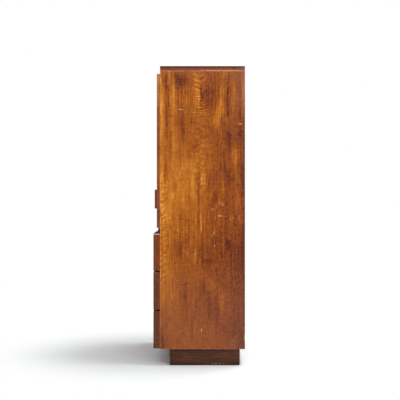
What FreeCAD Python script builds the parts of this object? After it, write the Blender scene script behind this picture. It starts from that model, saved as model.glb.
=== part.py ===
import FreeCAD, Part
import os

# A highboy: a tall chest with two doors over three drawers, on a set-back plinth. Millimetres.
# X runs across the front, Y from front to back, and Z up from the floor.
# The origin lies on the floor, under the middle of the whole outline.

# Case boards
case_width = 914.0
case_depth = 432.0
side_thickness = 20.0
top_thickness = 25.4
panel_thickness = 19.0
back_thickness = 6.0
back_rebate_width = 10.0
housing_depth = 6.0
board_clearance = 0.2

# Heights of the front, from the floor up
plinth_height = 84.0
bottom_reveal = 4.0
drawer_front_height = 190.5
drawer_gap = 6.4
waist_gap = 28.5
door_height = 784.0
top_reveal = 13.8

# Doors and drawer fronts, which lie over the front edges of the case
front_gap = 1.0
front_end_inset = 1.0
door_thickness = 15.5
meeting_gap = 3.0
drawer_front_thickness = 32.6
scoop_width = 220.0
scoop_depth = 26.0
scoop_lip_radius = 12.0

# Rails and the waist moulding
rail_depth = 22.0
top_rail_height = 45.0
mid_rail_height = 24.0
door_overlap = 8.0
divider_thickness = 19.0
divider_depth = 60.0
divider_setback = 22.0
moulding_projection = 8.2
moulding_clearance = 1.0
cleat_side = 20.0
cleat_gap = 8.0

# Adjustable shelves and their pins
shelf_thickness = 16.0
shelf_clearance = 1.0
shelf_setback = 25.0
shelf_pin_radius = 3.0
shelf_pin_reach = 9.0
shelf_pin_sunk = 9.0
shelf_pin_inset = 50.0
shelf_pin_flat = 0.8
shelf_hole_pitch = 32.0
shelf_hole_count = 5

# Plinth
plinth_thickness = 20.0
plinth_front_inset = 49.0
plinth_back_inset = 26.0
plinth_side_inset = 20.0
plinth_heel_radius = 8.0
plinth_block_side = 36.0
plinth_block_lift = 6.0

# Drawer boxes
box_lift = 20.0
box_headroom = 30.5
box_side_gap = 5.0
box_back_gap = 25.0
box_side_thickness = 14.0
inner_front_thickness = 14.0
inner_front_drop = 12.0
box_back_thickness = 12.0
box_back_drop = 10.0
bottom_thickness = 5.0
bottom_lift = 10.0
bottom_groove_depth = 5.0
tail_count = 4
tail_width_share = 0.62
tail_slope_share = 0.15

# Side-hung drawer runners
runner_height = 10.0
runner_groove_depth = 6.0
runner_clearance = 0.3
runner_setback = 40.0
runner_stop_gap = 2.0
runner_back_gap = 4.0

# Door handles
handle_height = 103.0
handle_width = 24.0
handle_projection = 27.0
handle_neck_width = 15.0
handle_cove_radius = 8.0
handle_edge_distance = 32.0
handle_lift = 93.0
handle_arris = 1.2

# Butt hinges, with their barrels outside the case
hinge_height = 45.0
hinge_end_distance = 73.0
hinge_count = 3
knuckle_count = 3
hinge_leaf_width = 15.0
hinge_leaf_thickness = 1.2
hinge_barrel_radius = 3.0
hinge_pin_radius = 1.5
hinge_running_clearance = 0.05
hinge_clearance = 0.3
hinge_pin_head_radius = 2.3
hinge_pin_head_height = 1.2

# Magnetic catches under the top rail
catch_width = 40.0
catch_height = 14.0
catch_depth = 16.0
catch_setback = 0.2
catch_edge_distance = 40.0
catch_plate_width = 30.0
catch_plate_height = 11.0
catch_plate_thickness = 0.8

# Slotted countersunk screws: small ones in the hinges, middling ones in the case,
# and stout ones that hold the drawer fronts and the handles
hinge_screw_head_radius = 2.3
hinge_screw_shank_radius = 1.1
hinge_screw_length = 11.0
case_screw_head_radius = 3.6
case_screw_shank_radius = 1.8
case_screw_length = 20.0
stout_screw_head_radius = 4.2
stout_screw_shank_radius = 2.2
drawer_screw_bite = 18.0
handle_screw_bite = 14.5
screw_clearance = 0.1
screw_slot_width = 0.8
screw_slot_depth = 0.6

# Eased edges, and the overrun of every cut
arris = 1.0
front_arris = 2.0
top_arris = 2.2
overrun = 2.0
same_plane = 0.001

# Places along X and Z of the screws, as shares of the piece that they go through
runner_screw_shares = (0.08, 0.5, 0.92)
back_screw_height_shares = (0.03, 0.27, 0.5, 0.73, 0.97)
back_screw_width_shares = (-0.7, 0.0, 0.7)
hinge_screw_height_shares = (0.15, 0.5, 0.85)
hinge_screw_across_shares = (0.42, 0.72, 0.42)
drawer_screw_width_shares = (-0.62, 0.62)
drawer_screw_height_shares = (0.35, 0.75)
handle_screw_shares = (0.25, 0.75)

# Planes worked out from the sizes above
overall_depth = case_depth + front_gap + door_thickness + handle_projection
back_y = overall_depth / 2
front_y = back_y - case_depth
panel_back_y = back_y - back_thickness
fronts_y = front_y - front_gap
door_face_y = fronts_y - door_thickness
drawer_face_y = fronts_y - drawer_front_thickness
outer_x = case_width / 2
inner_x = outer_x - side_thickness
end_x = outer_x - front_end_inset
box_x = inner_x - box_side_gap
box_height = drawer_front_height - box_lift - box_headroom
runner_width = box_side_gap + runner_groove_depth - runner_clearance
case_bottom_z = plinth_height
lowest_front_z = case_bottom_z + bottom_reveal
drawer_pitch = drawer_front_height + drawer_gap
drawer_names = ("lower", "middle", "upper")
drawers_top_z = lowest_front_z + drawer_pitch * (len(drawer_names) - 1) + drawer_front_height
door_bottom_z = drawers_top_z + waist_gap
door_top_z = door_bottom_z + door_height
top_under_z = door_top_z + top_reveal
top_z = top_under_z + top_thickness
deck_top_z = door_bottom_z + door_overlap
deck_under_z = deck_top_z - panel_thickness
rail_bottom_z = top_under_z - top_rail_height
hinge_x = outer_x + hinge_barrel_radius + hinge_clearance
hinge_y = front_y - front_gap / 2
hinge_first_z = door_bottom_z + hinge_end_distance
hinge_pitch = (door_height - 2 * hinge_end_distance) / (hinge_count - 1)
hinge_centres_z = [hinge_first_z + hinge_pitch * number for number in range(hinge_count)]
leaf_inner = hinge_clearance / 2
leaf_outer = leaf_inner + hinge_leaf_thickness
case_leaf_face_y = hinge_y + leaf_inner
case_leaf_seat_y = hinge_y + leaf_outer
door_leaf_face_y = hinge_y - leaf_inner
door_leaf_seat_y = hinge_y - leaf_outer
knuckle_height = (hinge_height - (knuckle_count - 1) * hinge_clearance) / knuckle_count
shelf_names = ("lower", "upper")
shelf_spacing = (top_under_z - deck_top_z) / (len(shelf_names) + 1)
shelf_bottoms_z = [deck_top_z + shelf_spacing * (number + 1) for number in range(len(shelf_names))]
hinge_screw = (hinge_screw_head_radius, hinge_screw_shank_radius, hinge_screw_length)
case_screw = (case_screw_head_radius, case_screw_shank_radius, case_screw_length)
drawer_screw = (stout_screw_head_radius, stout_screw_shank_radius, inner_front_thickness + drawer_screw_bite)
handle_screw = (stout_screw_head_radius, stout_screw_shank_radius, door_thickness + handle_screw_bite)

vector = FreeCAD.Vector
nodes = {}


def block(x0, x1, y0, y1, z0, z1):
    """A square-edged board between three pairs of planes."""
    return Part.makeBox(x1 - x0, y1 - y0, z1 - z0, vector(x0, y0, z0))


def rod(radius, start, direction, length):
    """A round bar from a start point along a direction."""
    return Part.makeCylinder(radius, length, start, direction)


def plan_prism(points, z0, z1):
    """A board with the given outline, seen from above."""
    corners = [vector(x, y, z0) for x, y in points]
    outline = Part.Face(Part.makePolygon(corners + corners[:1]))
    return outline.extrude(vector(0, 0, z1 - z0))


def mirrored(shape):
    """The same shape on the other side of the middle of the chest."""
    return shape.mirror(vector(0, 0, 0), vector(1, 0, 0))


def edges_on(shape, planes):
    """The edges of a shape that lie in any of the given (axis, value) planes."""
    found = []
    for edge in shape.Edges:
        box = edge.BoundBox
        for axis, value in planes:
            low = getattr(box, axis + "Min")
            high = getattr(box, axis + "Max")
            if abs(low - value) < same_plane and abs(high - value) < same_plane:
                found.append(edge)
                break
    return found


def edges_at(shape, plane_one, plane_two):
    """The edges of a shape along the line where two (axis, value) planes meet."""
    second = [edge.hashCode() for edge in edges_on(shape, [plane_two])]
    return [edge for edge in edges_on(shape, [plane_one]) if edge.hashCode() in second]


def eased(shape, radius, planes):
    """A shape with every edge in the given planes rounded over."""
    return shape.makeFillet(radius, edges_on(shape, planes))


def screw(size):
    """A slotted countersunk screw that points along -Z, with its head's face at the origin."""
    head_radius, shank_radius, length = size
    head_height = head_radius - shank_radius
    head = Part.makeCone(shank_radius, head_radius, head_height, vector(0, 0, -head_height))
    shank = rod(shank_radius, vector(0, 0, -length), vector(0, 0, 1), length - head_height)
    half_slot = screw_slot_width / 2
    slot = block(-head_radius, head_radius, -half_slot, half_slot, -screw_slot_depth, overrun)
    return head.fuse(shank).removeSplitter().cut(slot)


def screw_hole(size):
    """The countersunk hole for a screw, in the same place as the screw."""
    head_radius, shank_radius, length = size
    head_height = head_radius - shank_radius
    wide = head_radius + screw_clearance
    narrow = shank_radius + screw_clearance
    sink = Part.makeCone(narrow, wide, head_height, vector(0, 0, -head_height))
    mouth = rod(wide, vector(0, 0, 0), vector(0, 0, 1), overrun)
    bore = rod(narrow, vector(0, 0, -length - screw_clearance), vector(0, 0, 1), length)
    return sink.fuse([mouth, bore])


def placed(shape, point, direction):
    """A screw or hole moved so that it starts at a point and goes in along a direction."""
    turn = FreeCAD.Rotation(vector(0, 0, -1), direction)
    copy = shape.copy()
    copy.Placement = FreeCAD.Placement(point, turn)
    return copy


def screws_and_holes(size, points, direction):
    """The screws at some points, and the holes that they need."""
    screws = [placed(screw(size), point, direction) for point in points]
    holes = [placed(screw_hole(size), point, direction) for point in points]
    return screws, holes


def shelf_pin_places():
    """Where the pins stand in the right side panel: (y, z of the pin's axis) for each shelf."""
    first_y = front_y + shelf_setback + shelf_pin_inset
    last_y = panel_back_y - board_clearance - shelf_pin_inset
    axis_drop = shelf_pin_radius - shelf_pin_flat
    heights = [bottom - axis_drop for bottom in shelf_bottoms_z]
    return [(y, z) for z in heights for y in (first_y, last_y)]


def drawer_bottom_z(number):
    """The height of a drawer front's lower edge, counted from the lowest drawer."""
    return lowest_front_z + drawer_pitch * number


def runner_span():
    """The front and back ends of every drawer runner."""
    return front_y + runner_setback, panel_back_y - runner_back_gap


def runner_centre_z(number):
    """The height of a runner's middle, which is also its groove's."""
    return drawer_bottom_z(number) + box_lift + box_height / 2


def runner_screw_points(number):
    """Where the screws go through a right-hand runner."""
    start, end = runner_span()
    face_x = inner_x - runner_width
    spots = [start + share * (end - start) for share in runner_screw_shares]
    return [vector(face_x, y, runner_centre_z(number)) for y in spots]


def back_screw_points():
    """Where the back panel is screwed to both sides, the bottom and the deck."""
    edge_x = inner_x + back_rebate_width / 2
    span = top_under_z - case_bottom_z
    heights = [case_bottom_z + share * span for share in back_screw_height_shares]
    points = [vector(x, back_y, z) for z in heights for x in (-edge_x, edge_x)]
    for middle_z in (case_bottom_z + panel_thickness / 2, deck_under_z + panel_thickness / 2):
        points += [vector(share * inner_x, back_y, middle_z) for share in back_screw_width_shares]
    return points


def hinge_screw_points(from_edge_x, face_y, centre_z):
    """The three staggered screw places of one hinge leaf, whose outer edge is at from_edge_x."""
    points = []
    for rise, across in zip(hinge_screw_height_shares, hinge_screw_across_shares):
        z = centre_z + (rise - 1 / 2) * hinge_height
        points.append(vector(from_edge_x - across * hinge_leaf_width, face_y, z))
    return points


def hinge_knuckle_spans(centre_z):
    """The bottom and top of each knuckle of one hinge, from the lowest up."""
    lowest = centre_z - hinge_height / 2
    step = knuckle_height + hinge_clearance
    feet = [lowest + step * number for number in range(knuckle_count)]
    return [(foot, foot + knuckle_height) for foot in feet]


def hinge_leaf(edge_x, face_y, seat_y, centre_z, spans):
    """One leaf of a right-hand hinge, with the knuckles that belong to it."""
    low_z = centre_z - hinge_height / 2
    high_z = centre_z + hinge_height / 2
    near_y, far_y = sorted((face_y, seat_y))
    inner_edge = edge_x - hinge_leaf_width
    outer_edge = min(edge_x, hinge_x - hinge_barrel_radius - hinge_clearance)
    plate = block(inner_edge, outer_edge, near_y, far_y, low_z, high_z)
    pieces = []
    for bottom, top in spans:
        pieces.append(block(outer_edge, hinge_x, near_y, far_y, bottom, top))
        barrel_foot = vector(hinge_x, hinge_y, bottom)
        pieces.append(rod(hinge_barrel_radius, barrel_foot, vector(0, 0, 1), top - bottom))
    leaf = plate.fuse(pieces).removeSplitter()
    bore_foot = vector(hinge_x, hinge_y, low_z - overrun)
    bore_radius = hinge_pin_radius + hinge_running_clearance
    return leaf.cut(rod(bore_radius, bore_foot, vector(0, 0, 1), hinge_height + 2 * overrun))


def hinge_mortise(edge_x, face_y, seat_y, centre_z):
    """The shallow pocket that takes one hinge leaf."""
    near_y, far_y = sorted((face_y, seat_y))
    low_z = centre_z - hinge_height / 2 - board_clearance
    high_z = centre_z + hinge_height / 2 + board_clearance
    inner_edge = edge_x - hinge_leaf_width - board_clearance
    return block(inner_edge, hinge_x, near_y, far_y, low_z, high_z)


def hinge_pin(centre_z):
    """A hinge pin with a small head at each end."""
    half = hinge_height / 2
    shank = rod(hinge_pin_radius, vector(hinge_x, hinge_y, centre_z - half), vector(0, 0, 1), hinge_height)
    heads = []
    for foot_z in (centre_z - half - hinge_pin_head_height, centre_z + half):
        foot = vector(hinge_x, hinge_y, foot_z)
        heads.append(rod(hinge_pin_head_radius, foot, vector(0, 0, 1), hinge_pin_head_height))
    return shank.fuse(heads).removeSplitter()


def make_hinges():
    """The fixed leaves, pins and screws of both doors' hinges; returns the holes in the right side."""
    leaves = []
    pins = []
    screws = []
    holes = []
    for centre_z in hinge_centres_z:
        points = hinge_screw_points(outer_x, case_leaf_face_y, centre_z)
        new_screws, new_holes = screws_and_holes(hinge_screw, points, vector(0, 1, 0))
        spans = hinge_knuckle_spans(centre_z)
        leaf = hinge_leaf(outer_x, case_leaf_face_y, case_leaf_seat_y, centre_z, spans[0::2])
        leaves.append(leaf.cut(new_holes))
        pins.append(hinge_pin(centre_z))
        screws += new_screws
        holes += new_holes
    nodes["right_hinge_case_leaves"] = Part.makeCompound(leaves)
    nodes["left_hinge_case_leaves"] = Part.makeCompound([mirrored(leaf) for leaf in leaves])
    nodes["hinge_pins"] = Part.makeCompound(pins + [mirrored(pin) for pin in pins])
    nodes["case_hinge_screws"] = Part.makeCompound(screws + [mirrored(one) for one in screws])
    return holes


def make_runners_and_case_screws():
    """The drawer runners and every screw of the runners and back; returns the holes in the right side."""
    start, end = runner_span()
    runners = []
    screws = []
    side_holes = []
    for number in range(len(drawer_names)):
        middle = runner_centre_z(number)
        runner = block(inner_x - runner_width, inner_x, start, end, middle - runner_height / 2,
                       middle + runner_height / 2)
        new_screws, new_holes = screws_and_holes(case_screw, runner_screw_points(number), vector(1, 0, 0))
        runners.append(runner.cut(new_holes))
        screws += new_screws
        side_holes += new_holes
    back_screws, back_holes = screws_and_holes(case_screw, back_screw_points(), vector(0, -1, 0))
    nodes["right_drawer_runners"] = Part.makeCompound(runners)
    nodes["left_drawer_runners"] = Part.makeCompound([mirrored(runner) for runner in runners])
    runner_screws = screws + [mirrored(one) for one in screws]
    nodes["case_screws"] = Part.makeCompound(runner_screws + back_screws)
    return side_holes, back_holes


def make_sides(hinge_holes, runner_holes, back_holes):
    """Both side panels: housed, rebated for the back, and drilled."""
    side = block(inner_x, outer_x, front_y, back_y, case_bottom_z, top_under_z)
    side = eased(side, arris, [("X", outer_x)])
    cuts = [block(inner_x - overrun, inner_x + back_rebate_width, panel_back_y, back_y + overrun,
                  case_bottom_z - overrun, top_under_z + overrun)]
    for floor_z in (case_bottom_z, deck_under_z):
        cuts.append(block(inner_x - overrun, inner_x + housing_depth, front_y - overrun, panel_back_y + overrun,
                          floor_z, floor_z + panel_thickness))
    for centre_z in hinge_centres_z:
        cuts.append(hinge_mortise(outer_x, fronts_y, case_leaf_seat_y, centre_z))
    hole_radius = shelf_pin_radius + screw_clearance
    middle_hole = (shelf_hole_count - 1) / 2
    for y, z in shelf_pin_places():
        for number in range(shelf_hole_count):
            mouth = vector(inner_x - overrun, y, z + (number - middle_hole) * shelf_hole_pitch)
            cuts.append(rod(hole_radius, mouth, vector(1, 0, 0), overrun + shelf_pin_sunk + screw_clearance))
    right_back_holes = [hole for hole in back_holes if hole.BoundBox.XMin > inner_x]
    side = side.cut(cuts + hinge_holes + runner_holes + right_back_holes)
    nodes["right_side_panel"] = side
    nodes["left_side_panel"] = mirrored(side)


def make_top():
    """The top board, which lies on the sides, and the cleats that hold it down."""
    top = block(-outer_x, outer_x, front_y, back_y, top_under_z, top_z)
    top = eased(top, top_arris, [("Z", top_z)])
    nodes["top_panel"] = eased(top, arris, [("Z", top_under_z)])
    cleat = block(inner_x - cleat_side, inner_x, front_y + rail_depth + cleat_gap, panel_back_y - cleat_gap,
                  top_under_z - cleat_side, top_under_z)
    nodes["top_cleats"] = Part.makeCompound([cleat, mirrored(cleat)])


def make_floors_and_back(back_holes):
    """The bottom and the deck, housed into the sides, and the screwed back panel."""
    housed_x = inner_x + housing_depth
    for name, floor_z in (("bottom_panel", case_bottom_z), ("mid_deck", deck_under_z)):
        floor = block(-housed_x, housed_x, front_y, panel_back_y, floor_z, floor_z + panel_thickness)
        nodes[name] = floor.cut(back_holes)
    back_x = inner_x + back_rebate_width - board_clearance
    back = block(-back_x, back_x, panel_back_y, back_y, case_bottom_z, top_under_z)
    nodes["back_panel"] = back.cut(back_holes)


def make_rails():
    """The rails between the sides, and the moulding across the waist."""
    rail_back_y = front_y + rail_depth
    nodes["top_rail"] = block(-inner_x, inner_x, front_y, rail_back_y, rail_bottom_z, top_under_z)
    nodes["mid_rail"] = block(-inner_x, inner_x, front_y, rail_back_y, deck_under_z - mid_rail_height,
                              deck_under_z)
    low_z = drawers_top_z + moulding_clearance
    high_z = door_bottom_z - moulding_clearance
    moulding = block(-outer_x, outer_x, front_y - moulding_projection, front_y, low_z, high_z)
    nodes["waist_moulding"] = eased(moulding, front_arris, [("Y", front_y - moulding_projection)])
    divider_front = front_y + divider_setback
    for number, name in enumerate(("lower_divider_rail", "upper_divider_rail")):
        middle = drawer_bottom_z(number + 1) - drawer_gap / 2
        nodes[name] = block(-inner_x, inner_x, divider_front, divider_front + divider_depth,
                            middle - divider_thickness / 2, middle + divider_thickness / 2)


def make_shelves():
    """Two loose shelves, each on four pins with a flat on top."""
    shelf_x = inner_x - shelf_clearance
    for name, bottom in zip(shelf_names, shelf_bottoms_z):
        shelf = block(-shelf_x, shelf_x, front_y + shelf_setback, panel_back_y - board_clearance, bottom,
                      bottom + shelf_thickness)
        nodes[name + "_shelf"] = eased(shelf, arris, [("Y", front_y + shelf_setback)])
    pins = []
    for y, z in shelf_pin_places():
        pin = rod(shelf_pin_radius, vector(inner_x - shelf_pin_reach, y, z), vector(1, 0, 0),
                  shelf_pin_reach + shelf_pin_sunk)
        flat_z = z + shelf_pin_radius - shelf_pin_flat
        flat = block(inner_x - shelf_pin_reach - overrun, inner_x - shelf_clearance / 2, y - shelf_pin_radius,
                     y + shelf_pin_radius, flat_z, flat_z + shelf_pin_radius)
        pins.append(pin.cut(flat))
    nodes["shelf_pins"] = Part.makeCompound(pins + [mirrored(pin) for pin in pins])


def make_plinth():
    """Four mitred boards and the corner blocks inside them; the heel at the back is rounded."""
    out_x = outer_x - plinth_side_inset
    in_x = out_x - plinth_thickness
    out_front = front_y + plinth_front_inset
    in_front = out_front + plinth_thickness
    out_back = back_y - plinth_back_inset
    in_back = out_back - plinth_thickness
    front = plan_prism([(-out_x, out_front), (out_x, out_front), (in_x, in_front), (-in_x, in_front)],
                       0, plinth_height)
    back = plan_prism([(-out_x, out_back), (-in_x, in_back), (in_x, in_back), (out_x, out_back)],
                      0, plinth_height)
    right = plan_prism([(out_x, out_front), (out_x, out_back), (in_x, in_back), (in_x, in_front)],
                       0, plinth_height)
    heel_box = block(-outer_x, outer_x, out_back - plinth_heel_radius, out_back + overrun, -overrun,
                     plinth_heel_radius)
    heel_centre = vector(-outer_x, out_back - plinth_heel_radius, plinth_heel_radius)
    heel = heel_box.cut(rod(plinth_heel_radius, heel_centre, vector(1, 0, 0), case_width))
    nodes["plinth_front"] = front
    nodes["plinth_back"] = back.cut(heel)
    nodes["plinth_right"] = right.cut(heel)
    nodes["plinth_left"] = mirrored(nodes["plinth_right"])
    blocks = []
    for near_y, far_y in ((in_front, in_front + plinth_block_side), (in_back - plinth_block_side, in_back)):
        blocks.append(block(in_x - plinth_block_side, in_x, near_y, far_y, plinth_block_lift, plinth_height))
    nodes["plinth_corner_blocks"] = Part.makeCompound(blocks + [mirrored(one) for one in blocks])


def make_catches():
    """A magnetic catch for each door, under the top rail, and the plate that it holds."""
    middle_x = meeting_gap / 2 + catch_edge_distance
    catch_front = front_y + catch_setback
    catch = block(middle_x - catch_width / 2, middle_x + catch_width / 2, catch_front, catch_front + catch_depth,
                  rail_bottom_z - catch_height, rail_bottom_z)
    nodes["door_catches"] = Part.makeCompound([catch, mirrored(catch)])
    middle_z = rail_bottom_z - catch_height / 2
    plate = block(middle_x - catch_plate_width / 2, middle_x + catch_plate_width / 2, fronts_y,
                  fronts_y + catch_plate_thickness, middle_z - catch_plate_height / 2,
                  middle_z + catch_plate_height / 2)
    nodes["right_catch_plate"] = plate
    nodes["left_catch_plate"] = mirrored(plate)


def make_handle(middle_x, bottom_z):
    """A block handle with a finger cove down each side."""
    half = handle_width / 2
    bar = block(middle_x - half, middle_x + half, door_face_y - handle_projection, door_face_y, bottom_z,
                bottom_z + handle_height)
    cove_offset = handle_neck_width / 2 + handle_cove_radius
    coves = []
    for side in (-1, 1):
        foot = vector(middle_x + side * cove_offset, door_face_y - handle_cove_radius, bottom_z - overrun)
        coves.append(rod(handle_cove_radius, foot, vector(0, 0, 1), handle_height + 2 * overrun))
    bar = bar.cut(coves)
    return eased(bar, handle_arris, [("Y", door_face_y - handle_projection)])


def make_doors():
    """The right door with its handle, leaves and screws, and the left door as its mirror image."""
    inner_edge = meeting_gap / 2
    door = block(inner_edge, end_x, door_face_y, fronts_y, door_bottom_z, door_top_z)
    door = eased(door, front_arris, [("Y", door_face_y)])
    leaves = []
    screws = []
    cuts = []
    for centre_z in hinge_centres_z:
        points = hinge_screw_points(end_x, door_leaf_face_y, centre_z)
        new_screws, new_holes = screws_and_holes(hinge_screw, points, vector(0, -1, 0))
        spans = hinge_knuckle_spans(centre_z)
        leaf = hinge_leaf(end_x, door_leaf_face_y, door_leaf_seat_y, centre_z, spans[1::2])
        leaves.append(leaf.cut(new_holes))
        screws += new_screws
        cuts += new_holes
        cuts.append(hinge_mortise(end_x, front_y, door_leaf_seat_y, centre_z))
    handle_x = inner_edge + handle_edge_distance
    handle_bottom = door_bottom_z + handle_lift
    heights = [handle_bottom + share * handle_height for share in handle_screw_shares]
    points = [vector(handle_x, fronts_y, z) for z in heights]
    handle_screws, handle_holes = screws_and_holes(handle_screw, points, vector(0, -1, 0))
    pieces = {
        "door_panel": door.cut(cuts + handle_holes),
        "door_handle": make_handle(handle_x, handle_bottom).cut(handle_holes),
        "hinge_door_leaves": Part.makeCompound(leaves),
        "door_screws": Part.makeCompound(screws + handle_screws),
    }
    for name, shape in pieces.items():
        nodes["right_" + name] = shape
        nodes["left_" + name] = mirrored(shape)


def make_drawer_front(bottom_z):
    """A thick front with a scooped finger pull in the middle of its top edge."""
    front_top = bottom_z + drawer_front_height
    front = block(-end_x, end_x, drawer_face_y, fronts_y, bottom_z, front_top)
    half = scoop_width / 2
    radius = (half * half + scoop_depth * scoop_depth) / (2 * scoop_depth)
    centre = vector(0, drawer_face_y - overrun, front_top - scoop_depth + radius)
    front = front.cut(rod(radius, centre, vector(0, 1, 0), drawer_front_thickness + 2 * overrun))
    lips = edges_at(front, ("X", -half), ("Z", front_top)) + edges_at(front, ("X", half), ("Z", front_top))
    front = front.makeFillet(scoop_lip_radius, lips)
    return eased(front, front_arris, [("Y", drawer_face_y)])


def dovetails(height_low, height_high, outer_y, inner_y):
    """The tails of the right-hand drawer side that go through a board between two planes of Y."""
    pitch = (height_high - height_low) / tail_count
    wide = pitch * tail_width_share / 2
    narrow = wide - abs(inner_y - outer_y) * tail_slope_share
    tails = []
    for number in range(tail_count):
        middle = height_low + pitch * (number + 1 / 2)
        corners = [(outer_y, middle - wide), (outer_y, middle + wide), (inner_y, middle + narrow),
                   (inner_y, middle - narrow)]
        points = [vector(box_x - box_side_thickness, y, z) for y, z in corners]
        outline = Part.Face(Part.makePolygon(points + points[:1]))
        tails.append(outline.extrude(vector(box_side_thickness, 0, 0)))
    return tails


def make_drawer(number, name):
    """One drawer: the thick front, and a dovetailed box that hangs on the runners."""
    bottom_z = drawer_bottom_z(number)
    box_bottom = bottom_z + box_lift
    box_top = box_bottom + box_height
    floor_z = box_bottom + bottom_lift
    floor_top = floor_z + bottom_thickness
    inner_front_y = fronts_y + inner_front_thickness
    box_end_y = panel_back_y - box_back_gap
    box_back_y = box_end_y - box_back_thickness
    inner_top = box_top - inner_front_drop
    back_top = box_top - box_back_drop
    inside_x = box_x - box_side_thickness
    groove_x = inside_x + bottom_groove_depth
    groove_front_y = inner_front_y - bottom_groove_depth

    floor_groove = block(-groove_x, groove_x, groove_front_y, box_end_y + overrun, floor_z, floor_top)
    front_tails = dovetails(box_bottom, inner_top, fronts_y, inner_front_y)
    back_tails = dovetails(floor_top, back_top, box_end_y, box_back_y)
    inner_front = block(-box_x, box_x, fronts_y, inner_front_y, box_bottom, inner_top)
    inner_front = inner_front.cut(front_tails + [mirrored(tail) for tail in front_tails])

    start, _ = runner_span()
    middle = runner_centre_z(number)
    half_groove = runner_height / 2 + runner_clearance
    runner_groove = block(box_x - runner_groove_depth, box_x + overrun, start - runner_stop_gap,
                          box_end_y + overrun, middle - half_groove, middle + half_groove)
    back = block(-box_x, box_x, box_back_y, box_end_y, floor_top, back_top)
    back = back.cut(back_tails + [mirrored(tail) for tail in back_tails])
    side = block(inside_x, box_x, fronts_y, box_end_y, box_bottom, box_top)
    side = side.cut([inner_front, back, floor_groove, runner_groove])

    widths = [share * inside_x for share in drawer_screw_width_shares]
    inner_height = inner_top - box_bottom
    heights = [box_bottom + share * inner_height for share in drawer_screw_height_shares]
    points = [vector(x, inner_front_y, z) for x in widths for z in heights]
    screws, holes = screws_and_holes(drawer_screw, points, vector(0, -1, 0))

    floor_x = groove_x - board_clearance
    floor = block(-floor_x, floor_x, groove_front_y + board_clearance, box_end_y, floor_z, floor_top)
    pieces = {
        "front": make_drawer_front(bottom_z).cut(holes),
        "inner_front": inner_front.cut(holes + [floor_groove]),
        "right_side": side,
        "left_side": mirrored(side),
        "back": back.cut([runner_groove, mirrored(runner_groove)]),
        "bottom": floor,
        "screws": Part.makeCompound(screws),
    }
    for piece, shape in pieces.items():
        nodes[name + "_drawer_" + piece] = shape


hinge_holes = make_hinges()
runner_holes, back_holes = make_runners_and_case_screws()
make_sides(hinge_holes, runner_holes, back_holes)
make_top()
make_floors_and_back(back_holes)
make_rails()
make_shelves()
make_plinth()
make_catches()
make_doors()
for place, drawer_name in enumerate(drawer_names):
    make_drawer(place, drawer_name)

os.makedirs("parts", exist_ok=True)
for node, shape in nodes.items():
    shape.exportStep(os.path.join("parts", node + ".step"))
    print(node, len(shape.Solids), "solids", shape.isValid(), round(shape.Volume))
print(len(nodes), "nodes, height", round(top_z, 2))
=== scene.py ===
import math
from collections import namedtuple

import bpy
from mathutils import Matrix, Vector


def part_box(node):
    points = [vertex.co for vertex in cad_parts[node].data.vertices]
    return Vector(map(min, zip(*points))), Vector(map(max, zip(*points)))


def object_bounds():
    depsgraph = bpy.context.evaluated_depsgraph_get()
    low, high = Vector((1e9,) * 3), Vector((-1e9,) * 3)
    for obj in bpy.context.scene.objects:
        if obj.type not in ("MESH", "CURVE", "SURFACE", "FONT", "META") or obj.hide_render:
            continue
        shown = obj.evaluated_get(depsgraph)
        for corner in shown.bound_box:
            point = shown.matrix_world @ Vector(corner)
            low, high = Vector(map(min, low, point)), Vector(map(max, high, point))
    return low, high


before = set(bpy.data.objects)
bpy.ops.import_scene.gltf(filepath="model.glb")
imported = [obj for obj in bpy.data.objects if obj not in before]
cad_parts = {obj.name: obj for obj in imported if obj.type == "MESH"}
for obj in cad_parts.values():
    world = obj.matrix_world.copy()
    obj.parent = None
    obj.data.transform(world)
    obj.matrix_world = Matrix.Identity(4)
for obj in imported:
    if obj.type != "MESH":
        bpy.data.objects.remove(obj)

# The looks of the highboy: finishes for every board and fitting, the studio and the camera.
# Metres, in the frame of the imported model: X across the front, Y from front to back, Z up.

cad_low, cad_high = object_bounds()
side_low, side_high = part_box("right_side_panel")
top_low, top_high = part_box("top_panel")

# Where the photograph shows the near side, in its own pixels
photo_size = 400
photo_front_edge = 160.0
photo_top_edge = 66.0
photo_horizon = 193.0
metres_per_pixel = 0.005084

# Smooth steps are given as the two values between which they run and, where a step doesn't go from 0
# to 1, what it gives at each of them.

# A layer of noise: the sizes of its patches across and along the grain, what is added to a seed to set
# it apart, the noise's own detail, roughness and distortion, the smooth step that it goes through, if
# any, and how strongly it tells
Layer = namedtuple(
    "Layer", "across along shift detail roughness distortion step gain",
    defaults=(0.0, 2.0, 0.5, 0.0, (), 1.0))

# Bars across the grain: how they climb with their run, their pitch, how far they stray from straight,
# in pitches, and what is added to a seed to set them apart
Ripple = namedtuple("Ripple", "lean pitch unrest shift", defaults=(0.0,))

# A polish: its roughness, what streaks and pores add to that, and the heights of fibres and pores
Polish = namedtuple("Polish", "roughness streaks pores fibre_height pore_height")

# What the grain of veneer and of solid timber gives to a finish
Veneer = namedtuple("Veneer", "leaf long fine grit streak fibre pores")
Timber = namedtuple("Timber", "tone streak fibre pores")


def srgb(red, green, blue):
    """A colour given as it looks on screen, from 0 to 255, as the linear colour that shaders take."""
    linear = []
    for level in (red, green, blue):
        share = level / 255
        linear.append(share / 12.92 if share <= 0.04045 else ((share + 0.055) / 1.055) ** 2.4)
    return (*linear, 1.0)


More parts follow.
